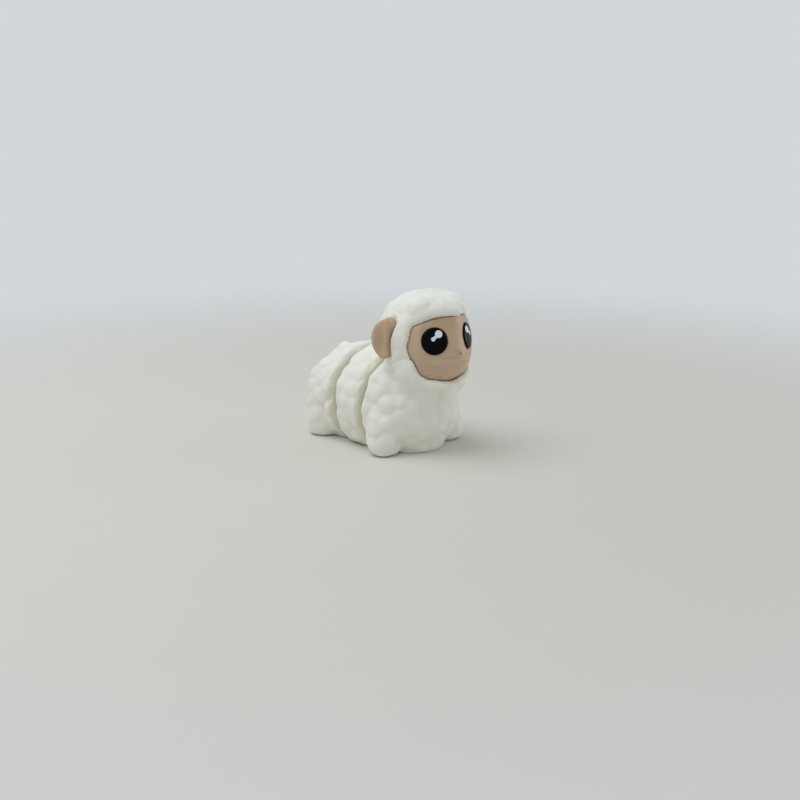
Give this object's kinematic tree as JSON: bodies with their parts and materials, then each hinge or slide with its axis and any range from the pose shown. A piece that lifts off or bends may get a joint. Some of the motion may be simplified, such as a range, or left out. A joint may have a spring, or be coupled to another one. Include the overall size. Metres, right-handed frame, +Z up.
{
  "type": "sheep figurine",
  "caption": "Small standing sheep ornament printed in woolly segments that flex on captive hinges, with a tan face, drooping ears and glossy dark eyes.",
  "frame": {"origin": "under the middle of the figurine's overall length and width, on the plane that the soles stand on", "axes": "+X towards the nose, +Y towards the sheep's left, +Z up"},
  "size_m": [0.0525, 0.0326, 0.0465],
  "materials": {
    "wool_white": "matte white printed plastic with fine layer lines",
    "face_tan": "matte tan printed plastic with fine layer lines",
    "eye_black": "glossy black",
    "glint_white": "smooth white"
  },
  "bodies": {
    "front": {"front_segment": "wool_white", "face_insert": "face_tan", "right_ear": "face_tan", "left_ear": "face_tan", "right_eye": "eye_black", "left_eye": "eye_black", "right_eye_glint": "glint_white", "left_eye_glint": "glint_white"},
    "middle": {"middle_segment": "wool_white"},
    "rear": {"rear_segment": "wool_white"}
  },
  "joints": [
    {"name": "front_hinge", "type": "hinge", "parent": "front", "child": "middle", "pos_m": [0.0071, 0, 0], "axis": [0, 0, 1], "range_deg": [-6, 6]},
    {"name": "rear_hinge", "type": "hinge", "parent": "middle", "child": "rear", "pos_m": [-0.005, 0, 0], "axis": [0, 0, 1], "range_deg": [-6, 6]}
  ]
}
